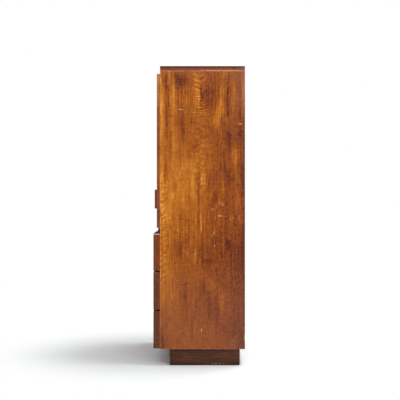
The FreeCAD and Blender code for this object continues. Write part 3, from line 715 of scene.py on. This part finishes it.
def timber_rings(coat, place, middle, seed, ring_pitch):
    """Year rings about a heart that lies outside the board, bowed along the grain."""
    bow = coat.layer(place, timber_bow, seed)
    first = coat.less(place[0], middle[0] + heart_stray * math.sin(seed))
    second = coat.less(place[1], middle[1] + heart_distance + heart_rise * math.cos(seed))
    squares = coat.add(coat.times(first, first), coat.times(second, second))
    radius = coat.add(coat.math("SQRT", squares), coat.times(bow, timber_bow.gain))
    return coat.step(coat.math("SINE", coat.times(radius, math.tau / ring_pitch)), ring_step)


def timber(coat, grain, box, seed, ring_pitch):
    """Solid timber with its grain along an axis: its tone, streaks, fibres and pores."""
    axes = {"X": (1, 2, 0), "Y": (0, 2, 1), "Z": (0, 1, 2)}[grain]
    low, high = box
    place = [coat.place[axis] for axis in axes]
    middle = [(low[axis] + high[axis]) / 2 for axis in axes]
    rings = timber_rings(coat, place, middle, seed, ring_pitch)
    streak = coat.layer(place, timber_streak, seed)
    fibre = coat.layer(place, timber_fibre, seed)
    pores = coat.layer(place, timber_pores, seed)
    tone = coat.add(
        timber_tone,
        coat.about(rings, ring_gain),
        coat.about(streak, timber_streak.gain),
        coat.about(fibre, timber_fibre.gain),
        coat.swing(place, timber_broad, seed),
        coat.times(pores, timber_pores.gain),
    )
    return Timber(tone, streak, fibre, pores)


def solid_wood(name, grain, tones, box, seed, ring_pitch=narrow_rings, roughness=timber_polish.roughness):
    """Solid timber with its grain along one axis and rubbed edges."""
    coat = Coat(name)
    wood = timber(coat, grain, box, seed, ring_pitch)
    colour = coat.tones(wood.tone, timber_stops, tones)
    colour = rubbed_edges(coat, colour, box, timber_rubbing)
    return polished(coat, colour, wood, timber_polish._replace(roughness=roughness))


# Drawer fronts: where the two thicknesses of an end are glued, as a share of it, and the glue line
glue_share = 0.62
glue_step = (0.0035, 0.0)
glue_tone = -0.22
backing_tone = 0.07

# Their veneered faces
face_step = (0.004, 0.002)
face_tone = 0.36
face_grain = 1.1
face_ripple = Ripple(0.0, 0.02, 1.6)
face_ripple_gain = 0.05
face_veil = 0.22
face_shift = 30.0

# Their edges: painted shade as dark arrises along the top and bottom of the ends, where an overrun leaves
# out the front and back, painted shade over a band at the top, which is also duller, rubbing, and on the
# ends a dark line of painted shade at the front and a pale line of painted highlight along the top
arris_overrun = 1.0
arris_width = 0.004
arris_shade_cover = 0.55
arris_shade_colour = srgb(66, 38, 28)
top_band_step = (-0.002, -0.0005)
top_shade_colour = srgb(62, 38, 28)
top_band_dullness = 0.45
drawer_rubbing = (0.002, 0.2)
drawer_end_step = (-0.003, -0.001)
front_shade_step = (0.008, 0.001, 0.0, 0.85)
front_shade_colour = srgb(56, 32, 24)
top_highlight_step = (-0.008, -0.004)
top_highlight_colour = srgb(222, 172, 152)


def drawer_end(coat, box, seed, tones):
    """Solid ends of a drawer front, with a glue line between two thicknesses."""
    low, high = box
    glue_y = low.y + glue_share * (high.y - low.y)
    glue = coat.step(coat.math("ABSOLUTE", coat.less(coat.y, glue_y)), glue_step)
    tone = coat.add(
        timber(coat, "X", box, seed, narrow_rings).tone,
        coat.times(glue, glue_tone),
        coat.step(coat.y, (glue_y, high.y, 0.0, backing_tone)),
    )
    return coat.tones(tone, timber_stops, tones)


def drawer_face(coat, veneer, flat, seed):
    """Veneer across the face of a drawer front."""
    ripple = ripples(coat, veneer.leaf, flat, flat[0], face_ripple, seed)
    grain = coat.add(veneer.long, veneer.fine)
    tone = coat.add(face_tone, coat.times(grain, face_grain), coat.times(ripple, face_ripple_gain))
    return coat.blend(face_veil, coat.tones(tone, veneer_stops, veneer_tones), veil)


def drawer_edges(coat, box, colour, top_band, top_shade_level, top_highlight_level):
    """Painted shade on the arrises and the top band, rubbing, and painted shade and highlight lines on the
    ends.
    """
    low, high = box
    # Painted shade along the top and bottom arrises of the ends
    open_ended = ((low.x, low.y - arris_overrun, low.z), (high.x, high.y + arris_overrun, high.z))
    arris_shade = coat.times(coat.edges(open_ended, arris_width), arris_shade_cover)
    colour = coat.blend(arris_shade, colour, arris_shade_colour)
    # Painted shade over the band at the top
    colour = coat.blend(coat.times(top_band, top_shade_level), colour, top_shade_colour)
    colour = rubbed_edges(coat, colour, box, drawer_rubbing)
    at_end = coat.near(coat.outward, high.x, drawer_end_step)
    # A dark line of painted shade at the front of the ends, and a pale line of painted highlight along
    # their top
    front_shade = coat.times(coat.near(coat.y, low.y, front_shade_step), at_end)
    colour = coat.blend(front_shade, colour, front_shade_colour)
    top_highlight = coat.times(coat.near(coat.z, high.z, top_highlight_step), coat.less(1.0, top_band), at_end)
    return coat.blend(coat.times(top_highlight, top_highlight_level), colour, top_highlight_colour)


def drawer_front(name, box, seed, tones, top_highlight_level, top_shade_level):
    """A drawer front of two thicknesses, whose veneered face mirrors about the chest's middle."""
    coat = Coat(name)
    low, high = box
    flat = (coat.z, coat.outward)
    face_seed = seed + face_shift
    veneer = veneer_grain(coat, flat, coat.z, plain_bars, face_seed)
    on_face = coat.near(coat.y, low.y, face_step)
    end_colour = drawer_end(coat, box, seed, tones)
    colour = coat.blend(on_face, end_colour, drawer_face(coat, veneer, flat, face_seed))
    # A band along the top: painted shade in its colour, and duller in its roughness
    top_band = coat.near(coat.z, high.z, top_band_step)
    colour = drawer_edges(coat, box, colour, top_band, top_shade_level, top_highlight_level)
    return polished(coat, colour, veneer, timber_polish, dulled=coat.times(top_band, top_band_dullness))


# The top board: its rings and polish, and darkening on the upper half of its edges, which stays clear of
# the upper face by a share of the thickness
top_rings = 0.007
top_polish = timber_polish._replace(roughness=0.4)
rim_dark_wobble = Layer(0.06, 0.06, 9.0, detail=3.0, gain=0.4)
rim_dark_shares = (0.4, 0.72)
rim_dark_cover = 0.75
rim_dark_colour = srgb(62, 34, 26)
rim_share = 0.05

# Pale dashes along its lower arris, a painted highlight and rubbing, busier on the rear half of the ends,
# and rear corners worn grey
top_end_step = (-0.004, -0.002)
dash_patches = Layer(0.022, 0.022, 0.0, detail=3.0)
busy_from_shares = (0.4, 0.58)
busy_to_shares = (1.0, 0.9)
busy_lift = 0.16
busy_dash_step = (0.45, 0.62, 0.28, 0.84)
plain_dash_step = (0.35, 0.65, 0.15, 0.36)
dash_height_share = 0.3
dash_highlight_colour = srgb(226, 160, 120)
grey_shares = (0.92, 1.0)
grey_cover = 0.6
grey_colour = srgb(118, 92, 86)


def top_dashes(coat, box, along, at_end, seed):
    """How pale the lower arris of the top board is, in dashes: a painted highlight, partly rubbing."""
    low, high = box
    patches = coat.layer((coat.x, coat.y), dash_patches, seed)
    busy = coat.times(coat.step(along, busy_from_shares), coat.step(along, busy_to_shares), at_end)
    dashes = coat.step(coat.add(patches, coat.times(busy, busy_lift)), busy_dash_step)
    pale_dashes = coat.mix(busy, coat.step(patches, plain_dash_step), dashes)
    by_arris = coat.step(coat.z, (low.z + dash_height_share * (high.z - low.z), low.z))
    return coat.times(by_arris, pale_dashes)


def top_board(name, box, seed):
    """The top board: dark along its upper arris, with a pale line of painted highlight and rubbing where it
    meets the case.
    """
    coat = Coat(name)
    low, high = box
    wood = timber(coat, "X", box, seed, top_rings)
    along = coat.share(coat.y, low.y, high.y)
    at_end = coat.near(coat.outward, high.x, top_end_step)
    on_rim = coat.step(coat.z, (high.z, high.z - rim_share * (high.z - low.z)))
    upper_darkening = coat.swing((coat.x, coat.y), rim_dark_wobble, seed)
    reach = coat.add(coat.share(coat.z, low.z, high.z), upper_darkening)
    # Darker on the upper half of the edges
    rim_dark = coat.times(coat.step(reach, rim_dark_shares), on_rim, rim_dark_cover)
    worn_corner = coat.times(coat.step(along, grey_shares), on_rim, at_end, grey_cover)
    colour = coat.tones(wood.tone, timber_stops, top_tones)
    colour = coat.blend(rim_dark, colour, rim_dark_colour)
    # Pale dashes along the lower arris: painted highlight and rubbing
    colour = coat.blend(top_dashes(coat, box, along, at_end, seed), colour, dash_highlight_colour)
    colour = coat.blend(worn_corner, colour, grey_colour)
    return polished(coat, colour, wood, top_polish)


# The plinth: its rings and polish, redder streaks, painted shade at the ends and towards the front, and
# darkening by the floor, in shares of a board's length and metres from the floor
plinth_rings = 0.008
plinth_polish = timber_polish._replace(roughness=0.48)
plinth_rubbing = (0.004, 0.1)
red_streaks = Layer(0.014, 0.1, 8.0, detail=3.0, distortion=0.6, step=(0.46, 0.66), gain=0.45)
streak_colour = srgb(114, 64, 43)
shaded_end_shares = (0.46, 0.5, 0.0, 0.3)
shaded_front_shares = (0.4, 0.0, 0.0, 0.24)
dark_foot_step = (0.013, 0.005, 0.0, 0.8)
plinth_dark_colour = srgb(30, 18, 13)

# Chips along the foot of a plinth board, as shares of its length and height, with how much they cover
chip_shares = (
    (0.61, 0.1, 0.025, 0.06, 0.8), (0.66, 0.09, 0.03, 0.05, 0.9),
    (0.72, 0.09, 0.02, 0.06, 0.7), (0.77, 0.1, 0.018, 0.05, 0.7),
    (0.84, 0.08, 0.014, 0.05, 0.4), (0.53, 0.08, 0.014, 0.05, 0.4),
    (0.13, 0.1, 0.012, 0.05, 0.5), (0.17, 0.08, 0.012, 0.04, 0.4),
)
chip_breaks = Layer(0.01, 0.005, 0.0, detail=3.0, step=(0.4, 0.55))
chip_colour = srgb(172, 130, 74)


def plinth_board(name, grain, box, seed):
    """A dark stained plinth board with redder streaks, painted shade at its ends and front, black along the
    floor and chipped there.
    """
    coat = Coat(name)
    low, high = box
    wood = timber(coat, grain, box, seed, plinth_rings)
    axis = "XY".index(grain)
    along = coat.share(coat.place[axis], low[axis], high[axis])
    up = coat.share(coat.z, low.z, high.z)
    streaks = coat.layer(coat.place, red_streaks, seed, grain=axis)
    # Painted shade at the ends and towards the front, and darker by the floor
    darkened = coat.add(
        coat.step(coat.from_middle(along, 0.0, 1.0), shaded_end_shares),
        coat.step(along, shaded_front_shares),
        coat.near(coat.z, low.z, dark_foot_step),
    )
    breaks = coat.layer(coat.place, chip_breaks, seed)
    chips = coat.times(coat.marks(along, up, chip_shares), breaks)
    colour = coat.tones(wood.tone, timber_stops, plinth_tones)
    colour = coat.blend(coat.times(streaks, red_streaks.gain), colour, streak_colour)
    colour = coat.blend(darkened, colour, plinth_dark_colour)
    colour = coat.blend(chips, colour, chip_colour)
    colour = rubbed_edges(coat, colour, box, plinth_rubbing)
    return polished(coat, colour, wood, plinth_polish)


# Ply: bands drawn out of a broad figure, streaks and fibres, and its roughness and relief
ply_tone = 0.5
ply_figure = Layer(0.16, 1.1, 1.0, detail=3.0, distortion=0.8, gain=0.06)
ply_bands = 40.0
ply_streak = Layer(0.02, 0.5, 3.0, detail=3.0, gain=0.5)
ply_fibre = Layer(0.0026, 0.08, 2.0, detail=3.0, gain=0.5)
ply_roughness = 0.62
ply_fibre_roughness = 0.15
ply_relief = 0.0001


def plywood(name):
    """Plain rotary-cut ply: broad soft figure, streaks and fine fibres."""
    coat = Coat(name)
    figure = coat.layer(coat.place, ply_figure)
    bands = coat.math("SINE", coat.times(figure, ply_bands))
    streak = coat.layer(coat.place, ply_streak)
    fibre = coat.layer(coat.place, ply_fibre)
    tone = coat.add(
        ply_tone,
        coat.times(bands, ply_figure.gain),
        coat.about(streak, ply_streak.gain),
        coat.about(fibre, ply_fibre.gain),
    )
    colour = coat.tones(tone, ply_stops, ply_tones)
    roughness = coat.add(ply_roughness, coat.times(fibre, ply_fibre_roughness))
    return coat.finish(colour, roughness, fibre, depth=ply_relief)


# Metal and enamel: their layers, whose gains add to the roughness, and their relief
fitting_roughness = 0.35
fitting_relief = 0.00005
metal_patina = Layer(0.011, 0.011, 1.0, detail=4.0, gain=0.2)
metal_rubbing = Layer(0.0011, 0.006, 2.0, gain=0.1)
patina_step = (0.35, 0.65)
enamel_peel = Layer(0.002, 0.002, 1.0, gain=0.15)
enamel_specular = 0.4
enamel_colours = (srgb(74, 54, 42), srgb(92, 68, 52))
steel_colours = (srgb(120, 116, 110), srgb(176, 172, 166))
brass_colours = (srgb(118, 70, 34), srgb(176, 118, 60))


def worn_metal(name, colours):
    """Dull metal with a patchy patina and fine rubbing."""
    coat = Coat(name)
    patina = coat.layer(coat.place, metal_patina)
    rubbing = coat.layer(coat.place, metal_rubbing)
    colour = coat.blend(coat.step(patina, patina_step), *colours)
    roughness = coat.add(
        fitting_roughness,
        coat.times(patina, metal_patina.gain),
        coat.times(rubbing, metal_rubbing.gain),
    )
    return coat.finish(colour, roughness, rubbing, depth=fitting_relief, metal=1.0)


def enamel(name):
    """Brown stoved enamel with a slight orange-peel surface."""
    coat = Coat(name)
    peel = coat.layer(coat.place, enamel_peel)
    colour = coat.blend(peel, *enamel_colours)
    roughness = coat.add(fitting_roughness, coat.times(peel, enamel_peel.gain))
    return coat.finish(colour, roughness, peel, depth=fitting_relief, specular=enamel_specular)


def dress(material, *nodes):
    """Gives CAD nodes a finish."""
    for node in nodes:
        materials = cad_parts[node].data.materials
        materials.clear()
        materials.append(material)


# Repeats in the names of nodes
sides = ("right", "left")
drawers = ("lower", "middle", "upper")

# How strong the painted highlight along the top of each drawer front's ends is, and the painted shade over
# its top band
top_highlight_levels = {"lower": 0.0, "middle": 0.1, "upper": 0.85}
top_shade_levels = {"lower": 0.2, "middle": 0.6, "upper": 0.6}

# Finishes of the show surfaces
dress(side_veneer("right_side", leaf_shares, scratch_shares, seed=4.0, upper_darkening=0.0), "right_side_panel")
dress(side_veneer("left_side", (), (), seed=57.0, upper_darkening=0.4), "left_side_panel")
dress(top_board("top", (top_low, top_high), seed=1.0), "top_panel")
dress(solid_wood("moulding", "X", moulding_tones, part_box("waist_moulding"), seed=2.0), "waist_moulding")
for seed, level in enumerate(drawers, start=3):
    node = level + "_drawer_front"
    tones = shaded_drawer_end_tones[level]
    dress(drawer_front(node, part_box(node), seed, tones, top_highlight_levels[level], top_shade_levels[level]), node)
for side in sides:
    panel = side + "_door_panel"
    dress(door_veneer(panel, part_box(panel)), panel)
    pull = side + "_door_handle"
    dress(solid_wood(pull, "Z", handle_tones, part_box(pull), seed=6.0), pull)
plinth_grains = (("front", "X"), ("back", "X"), ("right", "Y"), ("left", "Y"))
for seed, (part, grain) in enumerate(plinth_grains, start=8):
    node = "plinth_" + part
    dress(plinth_board(node, grain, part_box(node), seed), node)

# Finishes of the inside and the fittings
whole = (cad_low, cad_high)
carcass = solid_wood("carcass", "X", carcass_tones, whole, seed=12.0, ring_pitch=0.012, roughness=0.5)
runner_wood = solid_wood("runner_wood", "Y", carcass_tones, whole, seed=13.0, roughness=0.5)
box_across = solid_wood("box_across", "X", box_tones, whole, seed=14.0, ring_pitch=0.009, roughness=0.55)
box_along = solid_wood("box_along", "Y", box_tones, whole, seed=15.0, ring_pitch=0.009, roughness=0.55)
ply = plywood("plywood")
steel = worn_metal("steel", steel_colours)
brass = worn_metal("brass", brass_colours)
dress(carcass, "bottom_panel", "mid_deck", "top_rail", "mid_rail", "upper_divider_rail",
      "lower_divider_rail", "upper_shelf", "lower_shelf")
dress(runner_wood, "top_cleats", "plinth_corner_blocks")
dress(ply, "back_panel")
dress(steel, "case_screws")
dress(brass, "hinge_pins", "case_hinge_screws", "shelf_pins")
dress(enamel("catch_enamel"), "door_catches")
for side in sides:
    dress(runner_wood, side + "_drawer_runners")
    dress(steel, side + "_catch_plate")
    dress(brass, side + "_hinge_case_leaves", side + "_hinge_door_leaves", side + "_door_screws")
for level in drawers:
    dress(box_across, level + "_drawer_inner_front", level + "_drawer_back")
    dress(box_along, level + "_drawer_right_side", level + "_drawer_left_side")
    dress(ply, level + "_drawer_bottom")
    dress(steel, level + "_drawer_screws")

# The floor: its reach from the middle, its paint, and the distances from the middle between which the
# shadow gives way to white
floor_reach = 30.0
floor_mottle = Layer(0.3, 0.3, 1.0, detail=3.0)
floor_colours = (srgb(241, 246, 248), srgb(247, 252, 254))
floor_fade_step = (0.6, 1.2)


def seen_directly(tree):
    """1 for rays that the camera, a mirror or glass sends out, and 0 for the rays that carry light."""
    path = tree.nodes.new("ShaderNodeLightPath")
    seen = path.outputs["Is Camera Ray"]
    for kind in ("Is Glossy Ray", "Is Transmission Ray"):
        either = tree.nodes.new("ShaderNodeMath")
        either.operation = "MAXIMUM"
        tree.links.new(seen, either.inputs[0])
        tree.links.new(path.outputs[kind], either.inputs[1])
        seen = either.outputs[0]
    return seen


def floor_paint():
    """Pale paint that holds the shadow by the chest and fades to plain white further out."""
    coat = Coat("floor_paint")
    mottle = coat.layer((coat.x, coat.y), floor_mottle)
    coat.finish(coat.blend(mottle, *floor_colours), roughness=0.9, specular=0.1)
    squares = coat.add(coat.times(coat.x, coat.x), coat.times(coat.y, coat.y))
    faded = coat.step(coat.math("SQRT", squares), floor_fade_step)
    glow = coat.node("Emission", {"Strength": 1.0})
    share = coat.times(faded, seen_directly(coat.tree))
    mixed = coat.node("MixShader", [share, coat.shader.outputs[0], glow.outputs[0]])
    coat.feed(coat.tree.nodes["Material Output"].inputs["Surface"], mixed.outputs[0])
    return coat.material


def make_floor():
    """A wide floor with the chest's shadow on it."""
    turns = ((-1, -1), (1, -1), (1, 1), (-1, 1))
    corners = [(across * floor_reach, along * floor_reach, 0.0) for across, along in turns]
    mesh = bpy.data.meshes.new("floor")
    mesh.from_pydata(corners, [], [(0, 1, 2, 3)])
    mesh.materials.append(floor_paint())
    floor = bpy.data.objects.new("floor", mesh)
    bpy.context.scene.collection.objects.link(floor)


def make_world(ambient):
    """Even studio light from all round, which the camera and reflections see as plain white."""
    world = bpy.data.worlds.new("studio")
    bpy.context.scene.world = world
    world.use_nodes = True
    tree = world.node_tree
    strength = tree.nodes.new("ShaderNodeMapRange")
    strength.inputs["To Min"].default_value = ambient
    tree.links.new(seen_directly(tree), strength.inputs["Value"])
    background = tree.nodes["Background"]
    background.inputs["Color"].default_value = (1.0, 1.0, 1.0, 1.0)
    tree.links.new(strength.outputs[0], background.inputs["Strength"])


def make_lamp(name, place, target, width, length, power):
    """A soft box aimed at a target."""
    data = bpy.data.lights.new(name, "AREA")
    data.shape = "RECTANGLE"
    data.size = width
    data.size_y = length
    data.energy = power
    lamp = bpy.data.objects.new(name, data)
    lamp.location = place
    lamp.rotation_euler = (Vector(target) - Vector(place)).to_track_quat("-Z", "Y").to_euler()
    bpy.context.scene.collection.objects.link(lamp)


def make_camera(distance, sensor):
    """A level camera that sees the near side as the photograph does."""
    middle = photo_size / 2
    data = bpy.data.cameras.new("camera")
    data.sensor_width = sensor
    data.lens = distance / metres_per_pixel * sensor / photo_size
    data.shift_y = (photo_horizon - middle) / photo_size
    camera = bpy.data.objects.new("camera", data)
    across = side_low.y + (middle - photo_front_edge) * metres_per_pixel
    height = top_high.z - (photo_horizon - photo_top_edge) * metres_per_pixel
    camera.location = (side_high.x + distance, across, height)
    camera.rotation_euler = (math.pi / 2, 0.0, math.pi / 2)
    bpy.context.scene.collection.objects.link(camera)
    bpy.context.scene.camera = camera


make_floor()
make_world(ambient=0.6)
make_lamp("overhead", place=(-0.15, 1.15, 3.9), target=(0.0, 0.0, 0.4), width=3.6, length=1.6, power=104.0)
make_lamp("fill", place=(5.0, 1.0, 2.4), target=(0.0, 0.0, 0.8), width=2.5, length=2.5, power=88.0)
make_camera(distance=5.75, sensor=36.0)
bpy.context.scene.view_settings.view_transform = "Standard"
